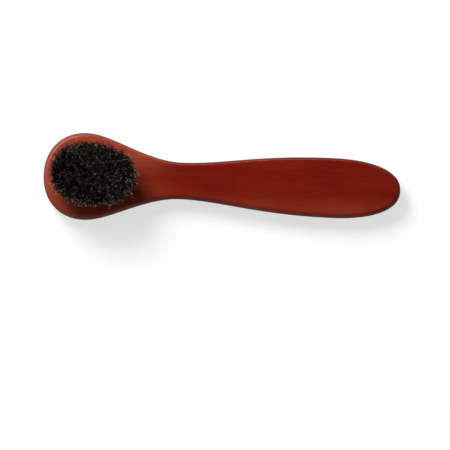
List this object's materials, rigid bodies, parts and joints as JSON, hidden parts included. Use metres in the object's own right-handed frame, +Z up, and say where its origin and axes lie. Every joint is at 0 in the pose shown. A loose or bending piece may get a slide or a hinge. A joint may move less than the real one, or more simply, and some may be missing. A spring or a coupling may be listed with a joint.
{
  "type": "shoe polish dauber",
  "caption": "One-piece lacquered wooden paddle with a rounded grip, a narrow neck and a wide head that carries an oval pad of flared horsehair tufts for dabbing polish on shoes.",
  "frame": {"origin": "under the middle of the board's length and width, on its flat back face", "axes": "+X along the board from the rim of the head to the end of the grip, +Z up out of the front face, which carries the hair"},
  "size_m": [0.17, 0.0414, 0.032],
  "materials": {
    "lacquered_wood": "red-brown stain under clear gloss lacquer",
    "horsehair": "black-brown horsehair with a few paler hairs",
    "anchor_wire": "bright drawn flat wire"
  },
  "bodies": {
    "root": {"handle": "lacquered_wood", "wire_anchors": "anchor_wire", "outer_tuft_1": "horsehair", "outer_tuft_2": "horsehair", "outer_tuft_3": "horsehair", "outer_tuft_4": "horsehair", "outer_tuft_5": "horsehair", "outer_tuft_6": "horsehair", "outer_tuft_7": "horsehair", "outer_tuft_8": "horsehair", "outer_tuft_9": "horsehair", "outer_tuft_10": "horsehair", "outer_tuft_11": "horsehair", "outer_tuft_12": "horsehair", "outer_tuft_13": "horsehair", "outer_tuft_14": "horsehair", "outer_tuft_15": "horsehair", "outer_tuft_16": "horsehair", "outer_tuft_17": "horsehair", "outer_tuft_18": "horsehair", "inner_tuft_1": "horsehair", "inner_tuft_2": "horsehair", "inner_tuft_3": "horsehair", "inner_tuft_4": "horsehair", "inner_tuft_5": "horsehair", "inner_tuft_6": "horsehair", "inner_tuft_7": "horsehair", "inner_tuft_8": "horsehair", "inner_tuft_9": "horsehair", "inner_tuft_10": "horsehair", "inner_tuft_11": "horsehair", "inner_tuft_12": "horsehair", "middle_tuft_1": "horsehair", "middle_tuft_2": "horsehair", "middle_tuft_3": "horsehair", "middle_tuft_4": "horsehair"}
  },
  "joints": []
}
